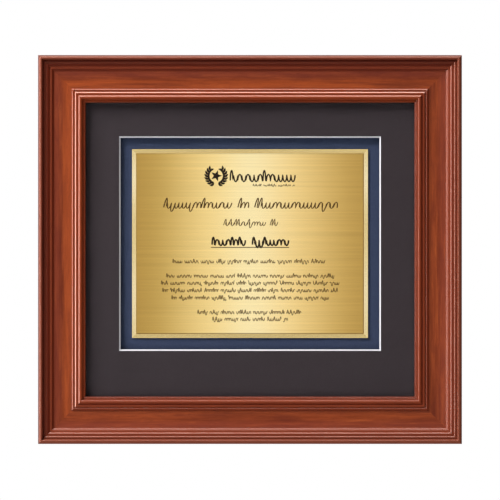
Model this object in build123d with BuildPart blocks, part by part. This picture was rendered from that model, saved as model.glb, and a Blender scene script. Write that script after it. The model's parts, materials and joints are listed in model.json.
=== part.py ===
"""A wall-hung presentation plaque: a mitred, moulded wooden frame around a gold plate.

Millimetres. +Z is up and the front faces -Y. The origin is the middle of the frame, on the plane of
the rails' backs, so everything in front of that plane has a negative y. In the sections of the
moulding, u runs inward from the frame's outer edge and h runs forward from the plane of the backs.
"""

import os

from build123d import *

os.makedirs("parts", exist_ok=True)

# frame
FRAME_WIDTH = 455.0
FRAME_HEIGHT = 417.5
RAIL_WIDTH = 50.7
REBATE_WIDTH = 6.35

# the pack in the rebate, front to back
GLAZING_THICKNESS = 2.0
MOUNT_THICKNESS = 1.5
SPACER_THICKNESS = 4.5
BOARD_THICKNESS = 1.6
BACKING_THICKNESS = 3.2
SIDE_CLEARANCE = 1.0
TOP_CLEARANCE = 2.0
SPACER_WIDTH = 12.0

# the window in the mount sits above the middle, so the margin below it is the widest
WINDOW_WIDTH = 281.6
WINDOW_HEIGHT = 230.8
WINDOW_RISE = 6.4

# gold plate
PLATE_WIDTH = 254.0
PLATE_HEIGHT = 203.2
PLATE_THICKNESS = 2.0
PLATE_BEVEL_WIDTH = 4.4
PLATE_EDGE = 0.9
TAPE_THICKNESS = 0.8
TAPE_WIDTH = 19.0
TAPE_LENGTH = 150.0
TAPE_PITCH = 60.0

# corner nails: two across each mitre, their bends this far in from the frame's two outer edges
NAIL_LEG = 7.0
NAIL_GAUGE = 0.6
NAIL_DEPTH = 10.0
NAIL_INSETS = (15.0, 30.0)

# turn buttons
BUTTON_LENGTH = 28.0
BUTTON_WIDTH = 10.0
BUTTON_GAUGE = 1.2
BUTTON_CHAMFER = 0.3
BUTTON_PIVOT_INSET = 33.0
BUTTON_PLAY = 0.1
BUTTON_SPREAD = 100.0
SIDE_BUTTON_HEIGHT = -30.0

# screws
SHANK_RADIUS = 1.5
PAN_RADIUS = 3.2
PAN_HEIGHT = 1.8
PAN_ROUNDING = 1.1
TIP_TAPER = 40
SCREW_LENGTH = 12.0
DRIVE_WIDTH = 0.9
DRIVE_LENGTH = 3.2
DRIVE_DEPTH = 0.9

# D-ring hangers
HANGER_INSET = 22.0
HANGER_HEIGHT = 92.0
STRAP_WIDTH = 12.0
STRAP_LENGTH = 30.0
STRAP_GAUGE = 1.6
EYE_RADIUS = 2.5
RING_WIRE_RADIUS = 1.2
RING_PLAY = 0.1
RING_INNER_WIDTH = 17.0
RING_STRAIGHT = 5.0
STRAP_SCREW_DROPS = (10.0, 22.0)

# wall bumpers
BUMPER_RADIUS = 6.35
BUMPER_HEIGHT = 5.0
BUMPER_ROUNDING = 3.0
BUMPER_INSET = 14.0

# worked out
OPENING_WIDTH = FRAME_WIDTH - 2 * (RAIL_WIDTH - REBATE_WIDTH)
OPENING_HEIGHT = FRAME_HEIGHT - 2 * (RAIL_WIDTH - REBATE_WIDTH)
PACK_WIDTH = OPENING_WIDTH - 2 * SIDE_CLEARANCE
PACK_HEIGHT = OPENING_HEIGHT - TOP_CLEARANCE
PACK_CENTRE = -TOP_CLEARANCE / 2
BOARD_BACK = BACKING_THICKNESS
SPACER_BACK = BOARD_BACK + BOARD_THICKNESS
MOUNT_BACK = SPACER_BACK + SPACER_THICKNESS
GLAZING_BACK = MOUNT_BACK + MOUNT_THICKNESS
REBATE_DEPTH = GLAZING_BACK + GLAZING_THICKNESS
PLATE_BACK = SPACER_BACK + TAPE_THICKNESS

FRONT = Vector(0, -1, 0)

# each rail's name, the way in from its outer edge, and its half length and distance from the middle
RAILS = (
    ("top_rail", Vector(0, 0, -1), FRAME_WIDTH / 2, FRAME_HEIGHT / 2),
    ("bottom_rail", Vector(0, 0, 1), FRAME_WIDTH / 2, FRAME_HEIGHT / 2),
    ("left_rail", Vector(1, 0, 0), FRAME_HEIGHT / 2, FRAME_WIDTH / 2),
    ("right_rail", Vector(-1, 0, 0), FRAME_HEIGHT / 2, FRAME_WIDTH / 2),
)

# each turn button's name, its pivot (x, z), and the way in from its rail
BUTTON_X = FRAME_WIDTH / 2 - BUTTON_PIVOT_INSET
BUTTON_Z = FRAME_HEIGHT / 2 - BUTTON_PIVOT_INSET
BUTTONS = (
    ("turn_button_top_left", -BUTTON_SPREAD, BUTTON_Z, Vector(0, 0, -1)),
    ("turn_button_top_right", BUTTON_SPREAD, BUTTON_Z, Vector(0, 0, -1)),
    ("turn_button_bottom_left", -BUTTON_SPREAD, -BUTTON_Z, Vector(0, 0, 1)),
    ("turn_button_bottom_right", BUTTON_SPREAD, -BUTTON_Z, Vector(0, 0, 1)),
    ("turn_button_left", -BUTTON_X, SIDE_BUTTON_HEIGHT, Vector(1, 0, 0)),
    ("turn_button_right", BUTTON_X, SIDE_BUTTON_HEIGHT, Vector(-1, 0, 0)),
)
HANGER_X = FRAME_WIDTH / 2 - HANGER_INSET
HANGERS = (("left", -HANGER_X), ("right", HANGER_X))


def facing_front(h, x=0.0, z=0.0):
    """A plane that faces forward, h in front of the rails' backs, with +X right and +Z up."""
    return Plane(origin=(x, -h, z), x_dir=(1, 0, 0), z_dir=(0, -1, 0))


def facing_back(y, x=0.0, z=0.0):
    """A plane that faces the wall, y behind the rails' backs, with local +Y up."""
    return Plane(origin=(x, y, z), x_dir=(-1, 0, 0), z_dir=(0, 1, 0))


def finish(piece, name):
    """Label a finished piece and write it."""
    piece.part.label = name
    export_step(piece.part, f"parts/{name}.step")


# corner nails: eight folded wedges across the mitres, flush with the rails' backs
with BuildPart() as corner_nails:
    for side_x in (-1, 1):
        for side_z in (-1, 1):
            for inset in NAIL_INSETS:
                bend_x = side_x * (FRAME_WIDTH / 2 - inset)
                bend_z = side_z * (FRAME_HEIGHT / 2 - inset)
                with BuildSketch(facing_front(0, bend_x, bend_z)):
                    with BuildLine() as fold:
                        Polyline((-side_x * NAIL_LEG, 0), (0, 0), (0, -side_z * NAIL_LEG))
                    trace(fold.line, line_width=NAIL_GAUGE)
                extrude(amount=NAIL_DEPTH)
finish(corner_nails, "corner_nails")


def disc(radius, y, x, z):
    """A round sketch that faces the wall."""
    with BuildSketch(facing_back(y, x, z)) as sketch:
        Circle(radius)
    return sketch.sketch


def screw(x, z, head_y):
    """Add one pan-head screw driven forward, the underside of its head head_y behind the backs."""
    head = extrude(disc(PAN_RADIUS, head_y, x, z), amount=PAN_HEIGHT)
    fillet(head.edges().sort_by(Axis.Y)[-1], PAN_ROUNDING)
    with BuildSketch(facing_back(head_y + PAN_HEIGHT, x, z)) as cross:
        Rectangle(DRIVE_LENGTH, DRIVE_WIDTH)
        Rectangle(DRIVE_WIDTH, DRIVE_LENGTH)
    extrude(cross.sketch, amount=-DRIVE_DEPTH, mode=Mode.SUBTRACT)
    tip_y = head_y - SCREW_LENGTH + SHANK_RADIUS
    extrude(disc(SHANK_RADIUS, head_y, x, z), amount=tip_y - head_y)
    extrude(disc(SHANK_RADIUS, tip_y, x, z), amount=-SHANK_RADIUS, taper=TIP_TAPER)


BUTTON_HEAD_Y = 2 * BUTTON_PLAY + BUTTON_GAUGE
with BuildPart() as turn_button_screws:
    for name, pivot_x, pivot_z, inward in BUTTONS:
        screw(pivot_x, pivot_z, BUTTON_HEAD_Y)
finish(turn_button_screws, "turn_button_screws")

with BuildPart() as hanger_screws:
    for side, hanger_x in HANGERS:
        for drop in STRAP_SCREW_DROPS:
            screw(hanger_x, HANGER_HEIGHT - drop, STRAP_GAUGE)
finish(hanger_screws, "hanger_screws")


def moulding_section(plane):
    """The moulding's section, with u along the plane's x and h along its y."""
    with BuildSketch(plane) as section:
        with BuildLine():
            # plain outer side, then the rounded outer lip and the groove inside it
            Line((0, 0), (0, 23.6))
            JernArc((0, 23.6), (0, 1), 3.4, -90)
            JernArc((3.4, 27.0), (1, 0), 1.2, -90)
            Line((4.6, 25.8), (5.4, 23.4))
            # three beads that step down inward
            ThreePointArc((5.4, 23.4), (7.3, 23.6), (8.7, 22.3))
            ThreePointArc((8.7, 22.3), (11.1, 22.2), (12.8, 20.4))
            ThreePointArc((12.8, 20.4), (14.8, 20.2), (16.2, 18.8))
            # the wide, slightly hollow field
            Line((16.2, 18.8), (16.9, 18.3))
            ThreePointArc((16.9, 18.3), (26.4, 17.5), (35.8, 17.9))
            # three beads that step up to the sight edge
            Line((35.8, 17.9), (36.1, 18.6))
            ThreePointArc((36.1, 18.6), (37.4, 19.4), (38.7, 18.7))
            ThreePointArc((38.7, 18.7), (40.1, 20.0), (42.0, 20.1))
            Line((42.0, 20.1), (42.4, 19.6))
            ThreePointArc((42.4, 19.6), (43.7, 20.9), (45.6, 21.3))
            # ogee down to the small lip at the sight edge, then the rebate
            ThreePointArc((45.6, 21.3), (46.6, 20.8), (47.2, 19.8))
            ThreePointArc((47.2, 19.8), (47.7, 18.5), (48.6, 17.6))
            ThreePointArc((48.6, 17.6), (49.5, 17.9), (50.4, 17.3))
            Polyline(
                (50.4, 17.3),
                (RAIL_WIDTH, 16.8),
                (RAIL_WIDTH, REBATE_DEPTH),
                (RAIL_WIDTH - REBATE_WIDTH, REBATE_DEPTH),
                (RAIL_WIDTH - REBATE_WIDTH, 0),
                (0, 0),
            )
        make_face()
    return section.sketch


for name, inward, half_length, distance in RAILS:
    run = inward.cross(FRONT)
    edge = inward * -distance
    with BuildPart() as rail:
        start = Plane(origin=edge + run * -half_length, x_dir=inward, z_dir=run)
        extrude(moulding_section(start), amount=2 * half_length)
        for end in (run, run * -1):
            mitre = Plane(origin=edge + end * half_length, z_dir=end + inward)
            split(bisect_by=mitre, keep=Keep.BOTTOM)
        for fixings in (corner_nails, turn_button_screws, hanger_screws):
            add(fixings.part, mode=Mode.SUBTRACT)
    finish(rail, name)


def sheet(back, thickness):
    """One flat sheet of the pack in the rebate, its back face `back` in front of the rails' backs."""
    with BuildSketch(facing_front(back, z=PACK_CENTRE)) as outline:
        Rectangle(PACK_WIDTH, PACK_HEIGHT)
    extrude(outline.sketch, amount=thickness)


with BuildPart() as glazing:
    sheet(GLAZING_BACK, GLAZING_THICKNESS)
finish(glazing, "glazing")

# window mount: the window's edges are cut at 45 degrees, wider at the front
with BuildPart() as window_mount:
    sheet(MOUNT_BACK, MOUNT_THICKNESS)
    with BuildSketch(facing_front(GLAZING_BACK, z=WINDOW_RISE)):
        Rectangle(WINDOW_WIDTH, WINDOW_HEIGHT)
    extrude(amount=-MOUNT_THICKNESS, taper=45, mode=Mode.SUBTRACT)
finish(window_mount, "window_mount")

with BuildPart() as mount_board:
    sheet(BOARD_BACK, BOARD_THICKNESS)
finish(mount_board, "mount_board")

with BuildPart() as backing_board:
    sheet(0, BACKING_THICKNESS)
finish(backing_board, "backing_board")

# foam-board spacers around the pack's edge, the upright ones between the level ones
SPACER_Z = PACK_HEIGHT / 2 - SPACER_WIDTH / 2
SPACER_X = PACK_WIDTH / 2 - SPACER_WIDTH / 2
SPACERS = (
    ("spacer_top", 0, SPACER_Z, PACK_WIDTH, SPACER_WIDTH),
    ("spacer_bottom", 0, -SPACER_Z, PACK_WIDTH, SPACER_WIDTH),
    ("spacer_left", -SPACER_X, 0, SPACER_WIDTH, PACK_HEIGHT - 2 * SPACER_WIDTH),
    ("spacer_right", SPACER_X, 0, SPACER_WIDTH, PACK_HEIGHT - 2 * SPACER_WIDTH),
)
for name, x, z, width, height in SPACERS:
    with BuildPart() as spacer:
        with BuildSketch(facing_front(SPACER_BACK, x, PACK_CENTRE + z)):
            Rectangle(width, height)
        extrude(amount=SPACER_THICKNESS)
    finish(spacer, name)

# plate: a thin square edge, a wide shallow bevel, and a flat face
with BuildPart() as gold_plate:
    with BuildSketch(facing_front(PLATE_BACK, z=WINDOW_RISE)):
        Rectangle(PLATE_WIDTH, PLATE_HEIGHT)
    extrude(amount=PLATE_THICKNESS)
    front_edges = gold_plate.faces().sort_by(Axis.Y)[0].edges()
    chamfer(front_edges, PLATE_THICKNESS - PLATE_EDGE, PLATE_BEVEL_WIDTH)
finish(gold_plate, "gold_plate")

with BuildPart() as plate_tape:
    for step in (-1, 0, 1):
        with BuildSketch(facing_front(SPACER_BACK, z=WINDOW_RISE + step * TAPE_PITCH)):
            Rectangle(TAPE_LENGTH, TAPE_WIDTH)
        extrude(amount=TAPE_THICKNESS)
finish(plate_tape, "plate_tape")

# turn buttons: a strip with round ends that turns on its screw and laps the backing board
for name, pivot_x, pivot_z, inward in BUTTONS:
    strip_plane = Plane(origin=(pivot_x, BUTTON_PLAY, pivot_z), x_dir=inward, z_dir=(0, 1, 0))
    reach = BUTTON_LENGTH - BUTTON_WIDTH
    with BuildPart() as button:
        with BuildSketch(strip_plane):
            with Locations((reach / 2, 0)):
                SlotCenterToCenter(reach, BUTTON_WIDTH)
            Circle(SHANK_RADIUS + BUTTON_PLAY, mode=Mode.SUBTRACT)
        extrude(amount=BUTTON_GAUGE)
        rims = button.edges().filter_by(GeomType.CIRCLE).filter_by(lambda e: e.radius > PAN_RADIUS)
        chamfer(rims.group_by(Axis.Y)[-1], BUTTON_CHAMFER)
    finish(button, name)

# D-ring hangers: a strap with a rolled eye at its top, and a ring whose straight bar turns in the eye
for side, hanger_x in HANGERS:
    eye_plane = Plane(
        origin=(hanger_x - STRAP_WIDTH / 2, EYE_RADIUS, HANGER_HEIGHT), x_dir=(0, 0, 1), z_dir=(1, 0, 0)
    )
    with BuildPart() as strap:
        with BuildSketch(facing_back(0, hanger_x, HANGER_HEIGHT)):
            with BuildLine():
                Polyline(
                    (STRAP_WIDTH / 2, 0),
                    (STRAP_WIDTH / 2, STRAP_WIDTH / 2 - STRAP_LENGTH),
                )
                ThreePointArc(
                    (STRAP_WIDTH / 2, STRAP_WIDTH / 2 - STRAP_LENGTH),
                    (0, -STRAP_LENGTH),
                    (-STRAP_WIDTH / 2, STRAP_WIDTH / 2 - STRAP_LENGTH),
                )
                Polyline(
                    (-STRAP_WIDTH / 2, STRAP_WIDTH / 2 - STRAP_LENGTH),
                    (-STRAP_WIDTH / 2, 0),
                    (STRAP_WIDTH / 2, 0),
                )
            make_face()
        extrude(amount=STRAP_GAUGE)
        with BuildSketch(eye_plane):
            Circle(EYE_RADIUS)
        extrude(amount=STRAP_WIDTH)
        with BuildSketch(eye_plane):
            Circle(RING_WIRE_RADIUS + RING_PLAY)
        extrude(amount=STRAP_WIDTH, mode=Mode.SUBTRACT)
        add(hanger_screws.part, mode=Mode.SUBTRACT)
    finish(strap, f"{side}_hanger_strap")

    # the ring hangs upward from the eye, as it does with the plaque's weight on a wall hook
    bow_radius = RING_INNER_WIDTH / 2 + RING_WIRE_RADIUS
    ring_plane = facing_back(EYE_RADIUS, hanger_x, HANGER_HEIGHT)
    with BuildPart() as ring:
        with BuildLine(ring_plane) as ring_line:
            Line((-bow_radius + RING_WIRE_RADIUS * 2, 0), (bow_radius - RING_WIRE_RADIUS * 2, 0))
            RadiusArc(
                (bow_radius - RING_WIRE_RADIUS * 2, 0),
                (bow_radius, RING_WIRE_RADIUS * 2),
                -RING_WIRE_RADIUS * 2,
            )
            Line((bow_radius, RING_WIRE_RADIUS * 2), (bow_radius, RING_STRAIGHT))
            ThreePointArc(
                (bow_radius, RING_STRAIGHT),
                (0, RING_STRAIGHT + bow_radius),
                (-bow_radius, RING_STRAIGHT),
            )
            Line((-bow_radius, RING_STRAIGHT), (-bow_radius, RING_WIRE_RADIUS * 2))
            RadiusArc(
                (-bow_radius, RING_WIRE_RADIUS * 2),
                (-bow_radius + RING_WIRE_RADIUS * 2, 0),
                -RING_WIRE_RADIUS * 2,
            )
        with BuildSketch(Plane(origin=ring_line.line @ 0, z_dir=ring_line.line % 0)):
            Circle(RING_WIRE_RADIUS)
        sweep(path=ring_line.line)
    finish(ring, f"{side}_hanger_ring")

# wall bumpers: soft domed discs at the bottom corners of the back
with BuildPart() as wall_bumpers:
    for side_x in (-1, 1):
        bumper_x = side_x * (FRAME_WIDTH / 2 - BUMPER_INSET)
        with BuildSketch(facing_back(0, bumper_x, BUMPER_INSET - FRAME_HEIGHT / 2)):
            Circle(BUMPER_RADIUS)
        pad = extrude(amount=BUMPER_HEIGHT)
        fillet(pad.edges().sort_by(Axis.Y)[-1], BUMPER_ROUNDING)
finish(wall_bumpers, "wall_bumpers")
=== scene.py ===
import json
import math

import bpy
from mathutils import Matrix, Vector


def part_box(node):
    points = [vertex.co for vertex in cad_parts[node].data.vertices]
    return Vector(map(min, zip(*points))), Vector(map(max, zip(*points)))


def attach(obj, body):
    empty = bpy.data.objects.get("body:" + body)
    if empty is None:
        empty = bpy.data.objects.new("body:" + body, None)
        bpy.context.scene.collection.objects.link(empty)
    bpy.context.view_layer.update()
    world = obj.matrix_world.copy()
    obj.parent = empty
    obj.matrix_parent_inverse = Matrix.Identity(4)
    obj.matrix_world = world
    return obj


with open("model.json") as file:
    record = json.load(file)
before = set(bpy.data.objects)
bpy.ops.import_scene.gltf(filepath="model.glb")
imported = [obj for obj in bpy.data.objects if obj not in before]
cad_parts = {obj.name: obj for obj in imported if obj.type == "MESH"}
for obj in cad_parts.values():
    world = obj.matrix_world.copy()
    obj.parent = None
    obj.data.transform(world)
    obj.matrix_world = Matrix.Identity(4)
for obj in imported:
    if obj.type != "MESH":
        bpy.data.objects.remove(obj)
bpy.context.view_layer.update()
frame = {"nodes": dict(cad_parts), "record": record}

# ---------------------------------------------------------------------------------------------
# Sizes, in metres, read from the frame where it has them. Z is up, the front faces -Y, and the
# origin is the middle of the frame on the plane of the rails' backs.
# ---------------------------------------------------------------------------------------------

MM = 0.001


def size(low_high):
    """The extent of a (low, high) pair of corners."""
    return low_high[1] - low_high[0]


top_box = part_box("top_rail")
FRAME_WIDTH = size(top_box).x
FRAME_HEIGHT = top_box[1].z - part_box("bottom_rail")[0].z
RAIL_WIDTH = size(top_box).z
plate_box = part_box("gold_plate")
PLATE_WIDTH = size(plate_box).x
PLATE_HEIGHT = size(plate_box).z
PLATE_MIDDLE = (plate_box[0].z + plate_box[1].z) / 2
PLATE_FRONT = plate_box[0].y
PLATE_BEVEL = 4.4 * MM
WINDOW_WIDTH = 281.6 * MM
WINDOW_HEIGHT = 230.8 * MM

# ---------------------------------------------------------------------------------------------
# Camera: level with the middle of the plaque and a long way off, so that it looks square on
# ---------------------------------------------------------------------------------------------

VIEW_WIDTH = 537 * MM
SENSOR = 36.0
LENS = 400.0
FOCUS_PLANE = -0.022
CAMERA_RISE = 0.5 * MM

camera_data = bpy.data.cameras.new("camera")
camera_data.lens = LENS
camera_data.sensor_width = SENSOR
camera_data.clip_end = 60
camera = bpy.data.objects.new("camera", camera_data)
bpy.context.scene.collection.objects.link(camera)
camera.location = (0, FOCUS_PLANE - VIEW_WIDTH * LENS / SENSOR, -CAMERA_RISE)
camera.rotation_euler = (math.radians(90), 0, 0)
bpy.context.scene.camera = camera


# ---------------------------------------------------------------------------------------------
# Nodes: a Value wraps a node's output, and operators on it add Math nodes
# ---------------------------------------------------------------------------------------------


class Value:
    def __init__(self, nodes, socket):
        self.nodes, self.socket = nodes, socket

    def math(self, operation, *others):
        return self.nodes.math(operation, self, *others)

    def __add__(self, other):
        return self.math("ADD", other)

    def __sub__(self, other):
        return self.math("SUBTRACT", other)

    def __rsub__(self, other):
        return self.nodes.math("SUBTRACT", other, self)

    def __mul__(self, other):
        return self.math("MULTIPLY", other)

    def __truediv__(self, other):
        return self.math("DIVIDE", other)

    def __gt__(self, other):
        return self.math("GREATER_THAN", other)

    def __lt__(self, other):
        return self.math("LESS_THAN", other)

    __radd__ = __add__
    __rmul__ = __mul__

    def abs(self):
        return self.math("ABSOLUTE")

    def power(self, exponent):
        return self.math("POWER", exponent)

    def floor(self):
        return self.math("FLOOR")

    def sine(self):
        return self.math("SINE")

    def cosine(self):
        return self.math("COSINE")


class Nodes:
    """A tree of nodes: a material's, a world's or a geometry group's."""

    def __init__(self, tree):
        self.tree = tree

    def link(self, value, socket):
        """Feed a socket from a Value, or set it to a plain value."""
        if isinstance(value, Value):
            self.tree.links.new(value.socket, socket)
        else:
            socket.default_value = value

    def add(self, kind, settings, values):
        """Add a node, make its settings, then its inputs' values or links; returns its outputs."""
        node = self.tree.nodes.new(kind)
        for key, setting in settings.items():
            if key == "stops":
                ramp = node.color_ramp
                while len(ramp.elements) < len(setting):
                    ramp.elements.new(1.0)
                for element, (position, colour) in zip(ramp.elements, setting):
                    element.position = position
                    element.color = (*colour, 1.0)
            else:
                setattr(node, key, setting)
        for key, value in values.items():
            self.link(value, node.inputs[key])
        return [Value(self, socket) for socket in node.outputs]

    def math(self, operation, *values):
        return self.add("ShaderNodeMath", {"operation": operation}, dict(enumerate(values)))[0]

    def vector(self, x, y, z):
        return self.add("ShaderNodeCombineXYZ", {}, {0: x, 1: y, 2: z})[0]

    def vector_math(self, operation, first, second):
        """Both outputs of a Vector Math node: a vector and a number."""
        return self.add("ShaderNodeVectorMath", {"operation": operation}, {0: first, 1: second})

    def smooth(self, value, low, high):
        """0 below low, 1 above high, and a smooth step between."""
        settings = {"interpolation_type": "SMOOTHSTEP"}
        values = {0: value, 1: low, 2: high, 3: 0.0, 4: 1.0}
        return self.add("ShaderNodeMapRange", settings, values)[0]


class Finish(Nodes):
    """A new material's tree, with a Principled shader at its end."""

    def __init__(self, name):
        self.material = bpy.data.materials.new(name)
        self.material.use_nodes = True
        super().__init__(self.material.node_tree)
        self.shader = self.tree.nodes["Principled BSDF"]
        self.place = self.add("ShaderNodeTexCoord", {}, {})[3]
        self.x, self.y, self.z = self.add("ShaderNodeSeparateXYZ", {}, {0: self.place})

    def noise(self, at, scale, detail=3.0, roughness=0.55, distortion=0.0):
        """Noise from 0 to 1 at a place."""
        values = {"Vector": at, "Scale": scale, "Detail": detail}
        values.update({"Roughness": roughness, "Distortion": distortion})
        return self.add("ShaderNodeTexNoise", {}, values)[0]

    def ramp(self, factor, stops, interpolation="LINEAR"):
        """A colour from a ramp of (position, (r, g, b)) stops."""
        colour = self.add("ShaderNodeValToRGB", {"stops": stops}, {0: factor})[0]
        colour.socket.node.color_ramp.interpolation = interpolation
        return colour

    def curve(self, factor, stops, interpolation="LINEAR"):
        """A number from a ramp of (position, number) stops."""
        grey = [(position, (number,) * 3) for position, number in stops]
        colour = self.ramp(factor, grey, interpolation)
        return self.add("ShaderNodeRGBToBW", {}, {0: colour})[0]

    def mix(self, factor, first, second, blend="MIX"):
        """Two colours mixed."""
        settings = {"data_type": "RGBA", "blend_type": blend}
        return self.add("ShaderNodeMix", settings, {0: factor, 6: first, 7: second})[2]

    def bump(self, height, distance, strength):
        """A normal bent by a height field of that depth."""
        values = {"Height": height, "Distance": distance, "Strength": strength}
        return self.add("ShaderNodeBump", {}, values)[0]

    def finish(self, **inputs):
        """Set the Principled shader's sockets by their names."""
        for key, value in inputs.items():
            self.link(value, self.shader.inputs[key.replace("_", " ")])
        return self.material


def rgb(red, green, blue):
    """A colour given as the 0 to 255 numbers of a paint chart, made linear."""
    parts = [v / 255 for v in (red, green, blue)]
    return tuple(p / 12.92 if p <= 0.04045 else ((p + 0.055) / 1.055) ** 2.4 for p in parts)


def colour(red, green, blue):
    return (*rgb(red, green, blue), 1.0)


# ---------------------------------------------------------------------------------------------
# Materials
# ---------------------------------------------------------------------------------------------

# Across the moulding, as (millimetres in from the outer edge, share of 1): where the grooves are
# darkened, by staining and by painted shade, and where handling has polished the lacquer. A colour
# ramp holds 32 stops at most.
GROOVE_STAIN_AND_SHADE = (
    (0.0, 0.8), (1.1, 0.5), (2.2, 0.25), (3.2, 0.3), (4.2, 0.5), (5.2, 0.6), (6.4, 1.0), (7.6, 0.5),
    (8.8, 0.5), (9.8, 0.75), (10.8, 0.95), (11.7, 0.5), (12.8, 0.0), (13.9, 0.0), (14.9, 0.7),
    (16.0, 0.5), (16.9, 0.35), (18.0, 0.0), (34.8, 0.0), (35.9, 0.3), (37.2, 0.3), (38.4, 0.8),
    (39.4, 0.1), (40.9, 0.0), (42.0, 0.8), (43.4, 0.3), (44.6, 0.1), (46.0, 0.1), (46.8, 0.4),
    (48.0, 0.5), (49.3, 0.2), (50.7, 0.8),
)
POLISH = (
    (0.0, 0.14), (4.6, 0.16), (8.7, 0.3), (10.4, 0.4), (12.0, 0.4), (13.2, 0.65), (14.2, 0.65),
    (14.8, 0.14), (17.5, 0.14), (34.5, 0.3), (36.2, 0.6), (37.4, 0.6), (37.9, 0.4), (38.6, 0.4),
    (38.9, 0.8), (41.6, 0.8), (42.0, 0.4), (42.5, 0.4), (42.9, 0.55), (44.8, 0.45), (46.0, 0.15),
    (50.7, 0.35),
)


def lacquered_wood(name, along, inward, drift, outer_stain_and_shade, inner_stain_and_shade, warmth):
    """Lacquered wood: grain along the rail, staining and painted shade in the grooves, and bare
    wood behind.

    along is the rail's axis, inward is 1 or -1 for the way from the rail's outer edge to the middle
    of the frame, and drift picks a length of grain. The share of groove darkening, staining with
    painted shade, goes from outer_stain_and_shade to inner_stain_and_shade across the moulding, and
    warmth is the share of orange in its inner half.
    """
    g = Finish(name)
    axes = {"x": g.x, "z": g.z}
    run = axes[along]
    across = axes["z" if along == "x" else "x"]
    half = FRAME_HEIGHT / 2 if along == "x" else FRAME_WIDTH / 2
    inset = (half - across) if inward < 0 else (across + half)
    at = g.vector(run + drift, inset, g.y)

    def stretched(lengthwise, crosswise, detail, roughness, distortion=0.0):
        """Noise drawn out along the rail."""
        place = g.vector_math("MULTIPLY", at, (lengthwise, crosswise, crosswise))[0]
        return g.noise(place, 1.0, detail, roughness, distortion)

    def past(start, end):
        """0 up to start millimetres in from the outer edge, and 1 from end on."""
        return g.smooth(inset, start * MM, end * MM)

    def profile(table):
        """A share that follows a table across the moulding."""
        return g.curve(inset / RAIL_WIDTH, [(u * MM / RAIL_WIDTH, share) for u, share in table])

    broad = stretched(8, 90, 4.0, 0.6, 0.3)
    streaks = stretched(22, 420, 5.0, 0.65, 0.25)
    mottle = stretched(30, 150, 4.0, 0.6, 0.5)
    pores = stretched(160, 3200, 2.0, 0.5)

    grain = g.ramp(streaks * 0.68 + broad * 0.32, [
        (0.30, rgb(90, 31, 15)), (0.44, rgb(116, 49, 25)), (0.54, rgb(132, 58, 31)),
        (0.64, rgb(150, 71, 36)), (0.78, rgb(178, 92, 44)),
    ])
    grain = g.mix(g.smooth(mottle, 0.42, 0.7) * 0.55, grain, colour(100, 38, 24))
    grain = g.mix((1 - past(19, 27)) * 0.35, grain, colour(138, 62, 48))
    warm = past(24, 29) * g.smooth(broad, 0.3, 0.6)
    grain = g.mix(warm * warmth, grain, colour(176, 80, 32))
    # the grain shows in the wide field, less on the beads, and the outer lip, fading over the outer
    # beads, is mixed toward a paler greyish brown as a painted highlight
    in_field = past(16, 18) * (1 - past(34.5, 36))
    grain = g.mix((1 - in_field) * 0.7, grain, colour(136, 56, 28))
    grain = g.mix((1 - past(4, 12)) * 0.5, grain, colour(134, 80, 62))
    open_pores = g.smooth(pores, 0.60, 0.74) * (in_field * 0.45 + 0.05)
    grain = g.mix(open_pores, grain, colour(58, 20, 12))

    # 1 everywhere but on the outer side faces, which are evenly stained and duller
    moulded = past(0.02, 0.3)
    # the grooves' darkening: staining, deepened with painted shade where the beads turn from the
    # light
    groove_stain_and_shade = profile(GROOVE_STAIN_AND_SHADE) * moulded + (1 - moulded) * 0.6
    polish = profile(POLISH) * (moulded * 0.7 + 0.3)
    # the darkening's share per rail: more on the faces turned from the light, as painted shade
    stain_and_shade_share = outer_stain_and_shade + past(20, 32) * (inner_stain_and_shade - outer_stain_and_shade)
    stained_and_shaded = g.mix(groove_stain_and_shade * stain_and_shade_share, grain, colour(76, 12, 2))
    bare = g.ramp(streaks * 0.5 + broad * 0.5, [
        (0.3, rgb(168, 128, 84)), (0.5, rgb(190, 150, 103)), (0.7, rgb(206, 170, 124)),
    ])
    behind = g.smooth(g.y, -0.4 * MM, -0.1 * MM)
    unevenness = (mottle - 0.5) * (in_field * 0.12 + 0.03)
    return g.finish(
        Base_Color=g.mix(behind, stained_and_shaded, bare),
        Roughness=unevenness + behind * 0.4 + (1 - moulded) * 0.3 + 0.31,
        Specular_IOR_Level=0.12,
        Coat_Weight=(1 - behind) * (1 - groove_stain_and_shade * 0.8) * polish,
        Coat_Roughness=0.19,
        Normal=g.bump(streaks * 0.3 - open_pores, 0.02 * MM, 0.35),
    )


def picture_glass():
    """Clear low-reflection glass: a mirror that is almost all see-through, most so face on."""
    g = Finish("picture_glass")
    facing = g.add("ShaderNodeLayerWeight", {}, {"Blend": 0.5})[1]
    smudge = g.noise(g.place, 14.0, 3.0, 0.6)
    return g.finish(
        Base_Color=(0.95, 0.98, 0.97, 1),
        Metallic=1.0,
        Roughness=smudge * 0.05 + 0.02,
        Alpha=facing.power(4.0) * 0.55 + 0.008,
    )


def card(name, base, fleck, grain, strength):
    """Matt mount board, with the fine fibre of its paper face: its tree, colour and fibre."""
    g = Finish(name)
    fibre = g.noise(g.place, grain, 4.0, 0.65)
    cloudy = g.noise(g.place, 18.0, 3.0, 0.5)
    flecks = g.smooth(fibre * 0.8 + cloudy * 0.2, 0.35, 0.7) * strength
    return g, g.mix(flecks, base, fleck), fibre


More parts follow.
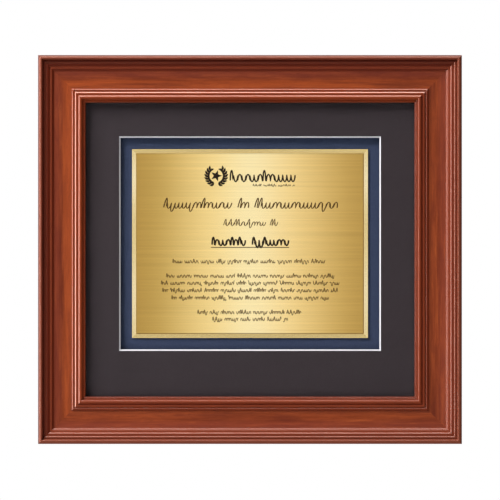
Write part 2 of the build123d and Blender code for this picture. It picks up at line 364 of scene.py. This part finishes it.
def black_board():
    """Black mount board, with the white core that shows where the window is cut."""
    g, face, fibre = card("black_board", colour(57, 50, 53), colour(73, 65, 69), 900.0, 0.35)
    margin = 0.02 * MM
    rise = (g.z - PLATE_MIDDLE).abs()
    inside = (g.x.abs() < WINDOW_WIDTH / 2 - margin) * (rise < WINDOW_HEIGHT / 2 - margin)
    core = g.mix(fibre, colour(222, 222, 228), colour(238, 238, 244))
    return g.finish(
        Base_Color=g.mix(inside, face, core),
        Roughness=0.86 + fibre * 0.1,
        Specular_IOR_Level=0.1,
        Normal=g.bump(fibre, 0.04 * MM, 0.5),
    )


def blue_board():
    g, face, fibre = card("blue_board", colour(53, 63, 89), colour(74, 84, 111), 1100.0, 0.5)
    return g.finish(
        Base_Color=face,
        Roughness=0.8 + fibre * 0.15,
        Specular_IOR_Level=0.1,
        Normal=g.bump(fibre, 0.05 * MM, 0.6),
    )


def gold_metal():
    """Brushed gold plate: fine level brushing, paler towards the middle as a painted reflection,
    and a polished bevel with painted highlights.

    A dark line of painted shade runs just inside the bevel, darkest on the right and along the
    bottom.
    """
    g = Finish("gold_metal")
    rise = g.z - PLATE_MIDDLE
    brushing = g.noise(g.vector(g.x * 5.0, g.y, g.z * 900.0), 1.0, 4.0, 0.7, 0.2)
    long_lines = g.noise(g.vector(g.x * 2.6, 0.0, g.z * 420.0), 1.0, 4.0, 0.65)
    # the face's colour is a painted reflection: a pale band down the middle, deeper gold towards
    # the sides
    field = g.ramp(g.x / PLATE_WIDTH + 0.5, [
        (0.0, rgb(176, 140, 70)), (0.14, rgb(197, 162, 86)), (0.27, rgb(234, 203, 130)),
        (0.38, rgb(246, 218, 148)), (0.5, rgb(252, 236, 184)), (0.62, rgb(247, 219, 153)),
        (0.73, rgb(236, 203, 131)), (0.87, rgb(204, 167, 92)), (1.0, rgb(182, 146, 75)),
    ], "B_SPLINE")
    lines = (brushing * 0.45 + long_lines * 0.55 - 0.5) * 0.62 + 1.0
    field = g.mix(1.0, field, g.vector(lines, lines, lines), "MULTIPLY")
    edge_x = PLATE_WIDTH / 2 - g.x.abs()
    edge_z = PLATE_HEIGHT / 2 - rise.abs()
    inset = edge_x.math("MINIMUM", edge_z)
    bevel_edge = 0.15 * MM
    bevel = 1 - g.smooth(inset, PLATE_BEVEL - bevel_edge, PLATE_BEVEL + bevel_edge)
    upright = g.smooth(edge_z - edge_x, 0.0, 0.2 * MM)
    # painted highlights down the left and right bevels, in bright bands along their height
    painted_bevel_highlight = g.curve(rise / PLATE_HEIGHT + 0.5, [
        (0.0, 0.25), (0.12, 0.55), (0.26, 0.8), (0.4, 0.35), (0.56, 0.1), (0.7, 0.3), (0.84, 1.0),
        (0.94, 0.45), (1.0, 0.2),
    ], "B_SPLINE")
    bevel_with_painted_highlights = g.mix(upright * painted_bevel_highlight * 0.85, colour(224, 198, 134), colour(255, 238, 196))
    # a thin dark line of painted shade inside the bevel, faint all round and darker on the right
    # and along the bottom, away from the light
    shade_line_at = PLATE_BEVEL + 0.5 * MM
    painted_shade_line = 1 - g.smooth((inset - shade_line_at).abs(), 0.2 * MM, 0.7 * MM)
    shaded_sides = upright * (g.x > 0.0) + (1 - upright) * (rise < 0.0)
    field = g.mix(painted_shade_line * (shaded_sides * 0.5 + 0.3), field, colour(112, 80, 24))
    return g.finish(
        Base_Color=g.mix(bevel, field, bevel_with_painted_highlights),
        Metallic=1.0,
        Roughness=0.34 - bevel * 0.14 + (brushing - 0.5) * 0.12,
        Anisotropic=0.7,
        Anisotropic_Rotation=0.25,
        Normal=g.bump(brushing * (1 - bevel), 0.012 * MM, 0.5),
    )


def foam(name, base, pitted):
    g = Finish(name)
    cells = g.noise(g.place, 2600.0, 2.0, 0.5)
    return g.finish(
        Base_Color=g.mix(cells * 0.5, base, pitted),
        Roughness=0.82 + cells * 0.1,
        Normal=g.bump(cells, 0.05 * MM, 0.7),
    )


def hardboard():
    """Pressed hardboard: a smooth brown face with fine dark fibres."""
    g = Finish("hardboard")
    fibre = g.noise(g.place, 520.0, 5.0, 0.75, 1.5)
    cloudy = g.noise(g.place, 9.0, 4.0, 0.6)
    flecks = g.smooth(g.noise(g.place, 1400.0, 2.0, 0.5, 2.0), 0.62, 0.72)
    base = g.ramp(fibre * 0.65 + cloudy * 0.35, [
        (0.32, rgb(104, 70, 42)), (0.5, rgb(132, 94, 60)), (0.66, rgb(156, 116, 78)),
    ])
    return g.finish(
        Base_Color=g.mix(flecks * 0.5, base, colour(70, 44, 26)),
        Roughness=0.5 + fibre * 0.25,
        Normal=g.bump(fibre, 0.05 * MM, 0.5),
    )


def zinc_steel():
    """Bright zinc-plated steel, cloudy and finely scratched."""
    g = Finish("zinc_steel")
    cloudy = g.noise(g.place, 260.0, 3.0, 0.6, 0.8)
    scratches = g.noise(g.vector(g.x * 3000.0, g.y * 400.0, g.z * 260.0), 1.0, 3.0, 0.6)
    base = g.ramp(cloudy, [
        (0.3, rgb(158, 158, 160)), (0.55, rgb(196, 196, 196)), (0.8, rgb(214, 210, 198)),
    ])
    return g.finish(
        Base_Color=g.mix(g.smooth(scratches, 0.6, 0.8) * 0.35, base, colour(120, 120, 122)),
        Metallic=1.0,
        Roughness=cloudy * 0.22 + 0.2,
        Normal=g.bump(scratches, 0.01 * MM, 0.5),
    )


def bumper_rubber():
    g = Finish("bumper_rubber")
    fine = g.noise(g.place, 1500.0, 3.0, 0.6)
    return g.finish(
        Base_Color=g.mix(fine * 0.6, colour(48, 44, 42), colour(76, 72, 68)),
        Roughness=0.6 + fine * 0.2,
        Normal=g.bump(fine, 0.03 * MM, 0.6),
    )


# heights from the plate's middle: the mark is above the first, and the name between the other two
MARK_BOTTOM = 55 * MM
NAME_TOP = 11 * MM
NAME_BOTTOM = -8 * MM


def engraving_fill():
    """Enamel in the engraved strokes, thinner in places: black in the mark and name, else brown."""
    g = Finish("engraving_fill")
    worn = g.noise(g.place, 700.0, 3.0, 0.6)
    rise = g.z - PLATE_MIDDLE
    black = (rise > MARK_BOTTOM) + (rise < NAME_TOP) * (rise > NAME_BOTTOM)
    brown = g.mix(g.smooth(worn, 0.4, 0.75), colour(70, 46, 12), colour(102, 72, 24))
    return g.finish(
        Base_Color=g.mix(black * (1 - worn * 0.3), brown, colour(20, 14, 10)),
        Roughness=0.5 + worn * 0.2,
        Specular_IOR_Level=0.15,
    )


# per rail, painted light and shade from the upper left: the top and left rails get darker outer
# beads, lighter inner beads and more orange in their fields; the bottom and right rails get lighter
# outer beads, darker inner beads and less orange
rail_woods = {
    "top_rail": lacquered_wood(
        "top_rail_wood", "x", -1, drift=0.31, outer_stain_and_shade=0.95, inner_stain_and_shade=0.25, warmth=0.42),
    "bottom_rail": lacquered_wood(
        "bottom_rail_wood", "x", 1, drift=4.72, outer_stain_and_shade=0.5, inner_stain_and_shade=0.95, warmth=0.2),
    "left_rail": lacquered_wood(
        "left_rail_wood", "z", 1, drift=9.15, outer_stain_and_shade=0.95, inner_stain_and_shade=0.25, warmth=0.34),
    "right_rail": lacquered_wood(
        "right_rail_wood", "z", -1, drift=13.4, outer_stain_and_shade=0.55, inner_stain_and_shade=0.95, warmth=0.1),
}
finishes = {
    "picture_glass": picture_glass(),
    "black_board": black_board(),
    "blue_board": blue_board(),
    "gold_metal": gold_metal(),
    "spacer_foam": foam("spacer_foam", colour(226, 224, 218), colour(200, 198, 192)),
    "foam_tape": foam("foam_tape", colour(214, 212, 200), colour(182, 180, 170)),
    "hardboard": hardboard(),
    "zinc_steel": zinc_steel(),
    "bumper_rubber": bumper_rubber(),
    "engraving_fill": engraving_fill(),
}
for subpart in frame["record"]["subparts"]:
    node = frame["nodes"][subpart["node"]]
    finish = rail_woods.get(subpart["node"]) or finishes[subpart["material_slot"]]
    node.data.materials.clear()
    node.data.materials.append(finish)


# ---------------------------------------------------------------------------------------------
# Engraving: greeked lines, a rule, and a wreath with a star, all made by Geometry Nodes
# ---------------------------------------------------------------------------------------------


INLAY_DEPTH = 0.03
INK_FRONT = PLATE_FRONT - 0.01 * MM
NIB_SIDES = 6


class Tree(Nodes):
    """A geometry-nodes tree whose named inputs are set each time that it is run."""

    def __init__(self, name, numbers, counts=()):
        super().__init__(bpy.data.node_groups.new(name, "GeometryNodeTree"))
        sockets = self.tree.interface
        kinds = dict.fromkeys(numbers, "NodeSocketFloat")
        kinds.update(dict.fromkeys(counts, "NodeSocketInt"))
        for label, kind in kinds.items():
            sockets.new_socket(label, in_out="INPUT", socket_type=kind)
        sockets.new_socket("Geometry", in_out="OUTPUT", socket_type="NodeSocketGeometry")
        entry = self.tree.nodes.new("NodeGroupInput")
        self.inputs = {label: Value(self, entry.outputs[label]) for label in kinds}
        self.index = self.add("GeometryNodeInputIndex", {}, {})[0]

    def random(self, of, seed):
        """A number from 0 to 1, the same wherever `of` is the same."""
        values = {2: 0.0, 3: 1.0, 7: of, 8: seed}
        return self.add("FunctionNodeRandomValue", {"data_type": "FLOAT"}, values)[1]

    def moved(self, solid, place):
        return self.add("GeometryNodeSetPosition", {}, {0: solid, 2: place})[0]

    def points(self, count, place):
        """A mesh line of that many points, each moved to its place."""
        return self.moved(self.add("GeometryNodeMeshLine", {}, {"Count": count})[0], place)

    def curve(self, line):
        return self.add("GeometryNodeMeshToCurve", {}, {0: line})[0]

    def swept(self, curve, profile, scale=1.0):
        """A profile swept along a curve, with its ends closed."""
        values = {0: curve, 1: profile, 2: scale, 3: True}
        return self.add("GeometryNodeCurveToMesh", {}, values)[0]

    def nib(self, thickness):
        values = {0: NIB_SIDES, 4: thickness * 0.5}
        return self.add("GeometryNodeCurvePrimitiveCircle", {}, values)[0]

    def inlaid(self, solid):
        """A solid pressed nearly flat about the plane y = INK_FRONT."""
        place = self.add("GeometryNodeInputPosition", {}, {})[0]
        x, y, z = self.add("ShaderNodeSeparateXYZ", {}, {0: place})
        return self.moved(solid, self.vector(x, INK_FRONT + (y - INK_FRONT) * INLAY_DEPTH, z))

    def joined(self, *solids):
        join = self.add("GeometryNodeJoinGeometry", {}, {})[0]
        for solid in solids:
            self.link(solid, join.socket.node.inputs[0])
        return join

    def realized(self, solid):
        return self.add("GeometryNodeRealizeInstances", {}, {0: solid})[0]

    def end(self, solid):
        """Realize the solid, give it the enamel, and close the tree."""
        values = {0: self.realized(solid), 2: finishes["engraving_fill"]}
        filled = self.add("GeometryNodeSetMaterial", {}, values)[0]
        leave = self.tree.nodes.new("NodeGroupOutput")
        self.link(filled, leave.inputs[0])


def engraved(name, tree, settings):
    """Run a tree once with these inputs, keep its result as a mesh, and fix that to the frame."""
    piece = bpy.data.objects.new(name, bpy.data.meshes.new(name))
    bpy.context.scene.collection.objects.link(piece)
    modifier = piece.modifiers.new("engrave", "NODES")
    modifier.node_group = tree.tree
    for item in tree.tree.interface.items_tree:
        if item.item_type == "SOCKET" and item.in_out == "INPUT":
            modifier[item.identifier] = settings[item.name]
    bpy.context.view_layer.update()
    evaluated = piece.evaluated_get(bpy.context.evaluated_depsgraph_get())
    mesh = bpy.data.meshes.new_from_object(evaluated)
    piece.modifiers.remove(modifier)
    piece.data = mesh
    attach(piece, "frame")


def line_tree():
    """A line of greeked writing: arches up and down, some tall, some deep, with word gaps."""
    lengths = ("Left", "Baseline", "Pitch", "Height", "Rise", "Drop", "Stroke")
    shares = ("Contrast", "Slant", "Word")
    tree = Tree("greeked_line", lengths + shares, ("Strokes", "Seed"))
    t = tree.inputs
    points_each = 15
    stroke = ((tree.index + 0.5) / points_each).floor()
    step = (tree.index - stroke * points_each) / (points_each - 1)
    # points crowd towards the feet of each arch, where it turns
    along = 0.5 - (step * 3.0 + 0.07).cosine() * 0.5
    first = stroke < 0.5
    chance = tree.random(stroke, t["Seed"]).math("MAXIMUM", first)
    upward = chance > 0.45
    tall = chance > 0.86
    shaded_sides = chance < 0.09
    arch = (along * math.pi).sine().power(0.42)
    over = t["Height"] + tall * t["Rise"]
    under = t["Height"] - (t["Height"] + shaded_sides * t["Drop"]) * arch
    lift = upward * over * arch + (1 - upward) * under
    narrowed = 0.5 + (along - 0.5) * (1 - tall * 0.35)
    x = t["Left"] + (stroke + narrowed) * t["Pitch"] + lift * t["Slant"]
    place = tree.vector(x, INK_FRONT, t["Baseline"] + lift)
    line = tree.points(t["Strokes"] * points_each, place)

    def word(number):
        """The number of the word that a stroke is in; the words' lengths waver."""
        return ((number + (number * 0.55 + t["Seed"]).sine() * 1.6) / t["Word"] + 0.5).floor()

    gap_strokes = 1.4
    run = tree.index / points_each
    gap = word(run) > word(run - gap_strokes)
    words = tree.add("GeometryNodeDeleteGeometry", {"domain": "POINT"}, {0: line, 1: gap})[0]
    stem = (along * math.pi).cosine().abs()
    weight = 1 - t["Contrast"] * (1 - stem)
    tree.end(tree.inlaid(tree.swept(tree.curve(words), tree.nib(t["Stroke"]), weight)))
    return tree


def rule_tree():
    """A straight level rule."""
    tree = Tree("rule", ("Left", "Length", "Baseline", "Stroke"))
    t = tree.inputs
    ends = tree.vector(t["Left"] + tree.index * t["Length"], INK_FRONT, t["Baseline"])
    rule = tree.swept(tree.curve(tree.points(2, ends)), tree.nib(t["Stroke"]))
    tree.end(tree.inlaid(rule))
    return tree


def emblem_tree():
    """A five-pointed star in a wreath of paired leaves, open at the top."""
    tree = Tree("emblem", ("X", "Z", "Radius", "Leaf", "Star"), ("Pairs",))
    t = tree.inputs
    # a leaf lies along x from the origin, fattest before its middle
    steps = 8
    share = tree.index / steps
    spine = tree.points(steps + 1, tree.vector(share * t["Leaf"], 0.0, 0.0))
    plump = (share.power(0.8) * math.pi).sine().math("MAXIMUM", 0.02)
    leaf = tree.swept(tree.curve(spine), tree.nib(t["Leaf"] * 0.56), plump)
    # four rows of leaves, an outer and an inner one up each side, from beside the foot to the gap
    row = (tree.index / t["Pairs"] + 0.001).floor()
    step = tree.index - row * t["Pairs"]
    far_side = row > 1.5
    side = far_side * 2 - 1
    outward = (row - far_side * 2) * 2 - 1
    turned = math.radians(14) + step / t["Pairs"] * math.radians(132)
    angle = math.radians(-90) + side * turned
    foot = tree.vector(angle.cosine() * t["Radius"], 0.0, angle.sine() * t["Radius"])
    lean = angle + side * (math.radians(90) - outward * math.radians(34))
    leaves = tree.add("GeometryNodeInstanceOnPoints", {}, {
        0: tree.points(t["Pairs"] * 4, foot), 2: leaf, 5: tree.vector(0.0, lean * -1, 0.0),
    })[0]
    outline = {0: 5, 1: t["Star"] * 0.42, 2: t["Star"], 3: 0.0}
    star = tree.add("GeometryNodeCurveStar", {}, outline)[0]
    depth = tree.curve(tree.points(2, tree.vector(0.0, tree.index * MM, 0.0)))
    both = tree.joined(leaves, tree.swept(depth, star))
    place = tree.vector(t["X"], INK_FRONT, t["Z"])
    placed = tree.add("GeometryNodeTransform", {}, {0: both, 1: place})[0]
    tree.end(tree.inlaid(tree.realized(placed)))
    return tree


greeked_line = line_tree()
# in millimetres, the strokes' pitch, height, rise and drop of the long ones, and thickness; then
# their contrast and slant
LETTERING_STYLES = {
    "display": (4.5, 7.6, 4.3, 0.0, 1.85, 0.12, 0.0),
    "tag": (1.4, 1.5, 0.9, 0.6, 0.6, 0.15, 0.0),
    "title": (4.1, 6.6, 4.6, 3.4, 1.5, 0.4, 0.24),
    "subtitle": (2.9, 4.4, 2.8, 2.2, 1.0, 0.3, 0.24),
    "name": (3.9, 6.2, 2.6, 2.2, 2.1, 0.15, 0.0),
    "text": (1.7, 2.9, 1.5, 1.2, 0.8, 0.15, 0.0),
}


UNBROKEN = 1000.0


def write(name, style, left, right, baseline, seed, word=UNBROKEN):
    """Engrave one run of strokes from left to right, in millimetres from the plate's middle.

    word is how many strokes its words have, roughly.
    """
    pitch, height, rise, drop, stroke, contrast, slant = LETTERING_STYLES[style]
    strokes = round((right - left) / pitch)
    engraved(name, greeked_line, {
        "Left": left * MM, "Baseline": PLATE_MIDDLE + baseline * MM,
        "Pitch": (right - left) / strokes * MM, "Height": height * MM, "Rise": rise * MM,
        "Drop": drop * MM, "Stroke": stroke * MM, "Contrast": contrast, "Slant": slant,
        "Word": word, "Strokes": strokes, "Seed": seed,
    })


write("engraved_mark", "display", -22.0, 48.5, 66.8, 4)
write("engraved_tag", "tag", 3.0, 48.0, 61.8, 8, word=11.0)
for number, (left, right) in enumerate(((-94.0, -21.0), (-14.0, -2.0), (4.0, 93.5)), 1):
    write(f"engraved_title_{number}", "title", left, right, 37.9, 30 + number)
for number, (left, right) in enumerate(((-29.0, 16.0), (21.0, 29.0)), 1):
    write(f"engraved_subtitle_{number}", "subtitle", left, right, 19.1, 40 + number)
for number, (left, right) in enumerate(((-41.5, -5.0), (2.0, 41.5)), 1):
    write(f"engraved_name_{number}", "name", left, right, -2.0, 50 + number)

# the lines of small text, as (baseline, width)
TEXT_LINES = (
    (-21.0, 167.0), (-36.6, 180.6), (-44.3, 191.7), (-52.2, 189.0), (-60.2, 169.4),
    (-75.8, 113.3), (-83.2, 81.2),
)
for number, (baseline, width) in enumerate(TEXT_LINES, 1):
    half = width / 2
    write(f"engraved_text_{number}", "text", -half, half, baseline, 20 + number, word=10.0)

engraved("engraved_rule", rule_tree(), {
    "Left": -42.0 * MM, "Length": 84.0 * MM, "Baseline": PLATE_MIDDLE - 4.1 * MM,
    "Stroke": 0.95 * MM,
})
engraved("engraved_emblem", emblem_tree(), {
    "X": -36.4 * MM, "Z": PLATE_MIDDLE + 73 * MM, "Radius": 9.4 * MM, "Leaf": 5.2 * MM,
    "Star": 6.4 * MM, "Pairs": 8,
})

# ---------------------------------------------------------------------------------------------
# Stage: a plain pale floor well below, and soft studio light from the upper left
# ---------------------------------------------------------------------------------------------

FLOOR_DROP = 0.5
FLOOR_HALF = 3.6
STRIP_TINT = (1.0, 0.8, 0.7)

floor_mesh = bpy.data.meshes.new("floor")
corners = ((-1, -1), (1, -1), (1, 1), (-1, 1))
floor_mesh.from_pydata(
    [(x * FLOOR_HALF, y * FLOOR_HALF, -FLOOR_DROP) for x, y in corners], [], [(0, 1, 2, 3)]
)
floor = bpy.data.objects.new("floor", floor_mesh)
bpy.context.scene.collection.objects.link(floor)
floor_paint = Finish("floor_paint")
floor_mesh.materials.append(floor_paint.finish(Base_Color=(0.82, 0.82, 0.81, 1), Roughness=0.9))
floor.visible_glossy = False


def softbox(name, place, width, height, watts, diffuse=True, only=(), tint=(1, 1, 1)):
    """A rectangular light that faces the plaque. only: the pieces that it lights, if not all."""
    data = bpy.data.lights.new(name, "AREA")
    data.shape = "RECTANGLE"
    data.size, data.size_y = width, height
    data.energy = watts
    data.color = tint
    light = bpy.data.objects.new(name, data)
    bpy.context.scene.collection.objects.link(light)
    light.location = place
    light.rotation_euler = (-Vector(place)).to_track_quat("-Z", "Y").to_euler()
    light.visible_camera = False
    light.visible_diffuse = diffuse
    if only:
        lit = bpy.data.collections.new(name + "_lights")
        for piece in only:
            lit.objects.link(piece)
        light.light_linking.receiver_collection = lit


rails = [frame["nodes"][name] for name in rail_woods]
strip = {"watts": 190, "diffuse": False, "only": rails, "tint": STRIP_TINT}
softbox("key_light", (-1.65, -1.15, 2.0), 1.2, 1.2, 132)
softbox("top_strip", (0.0, -1.15, 2.0), 2.4, 1.2, **strip)
softbox("left_strip", (-2.0, -1.15, 0.0), 1.2, 2.4, **strip)
softbox("back_fill", (1.4, 2.4, 1.2), 1.2, 1.2, 70)
softbox("plate_panel", (0.1, -5.0, -0.12), 6.4, 6.4, 132, only=[frame["nodes"]["gold_plate"]])


def studio_world():
    """White to the camera; brighter above and to the left, and darker in front and to the right."""
    world = bpy.data.worlds.new("studio")
    world.use_nodes = True
    g = Nodes(world.node_tree)
    background = world.node_tree.nodes["Background"]
    towards = g.add("ShaderNodeTexCoord", {}, {})[0]
    rays = g.add("ShaderNodeLightPath", {}, {})
    seen, diffuse = rays[0], rays[2]
    lean = g.vector_math("DOT_PRODUCT", towards, (-0.6, 0.0, 0.8))[1]
    ahead = g.vector_math("DOT_PRODUCT", towards, (0.0, -1.0, 0.0))[1]
    shade = (0.03 + g.smooth(lean, -0.7, 0.7) * 0.97) * (1 - g.smooth(ahead, 0.3, 0.95) * 0.75)
    strength = seen + (1 - seen) * shade * (1 - diffuse * 0.85)
    g.link(strength, background.inputs["Strength"])
    g.link((1, 1, 1, 1), background.inputs["Color"])
    bpy.context.scene.world = world


studio_world()
bpy.context.scene.view_settings.view_transform = "Standard"
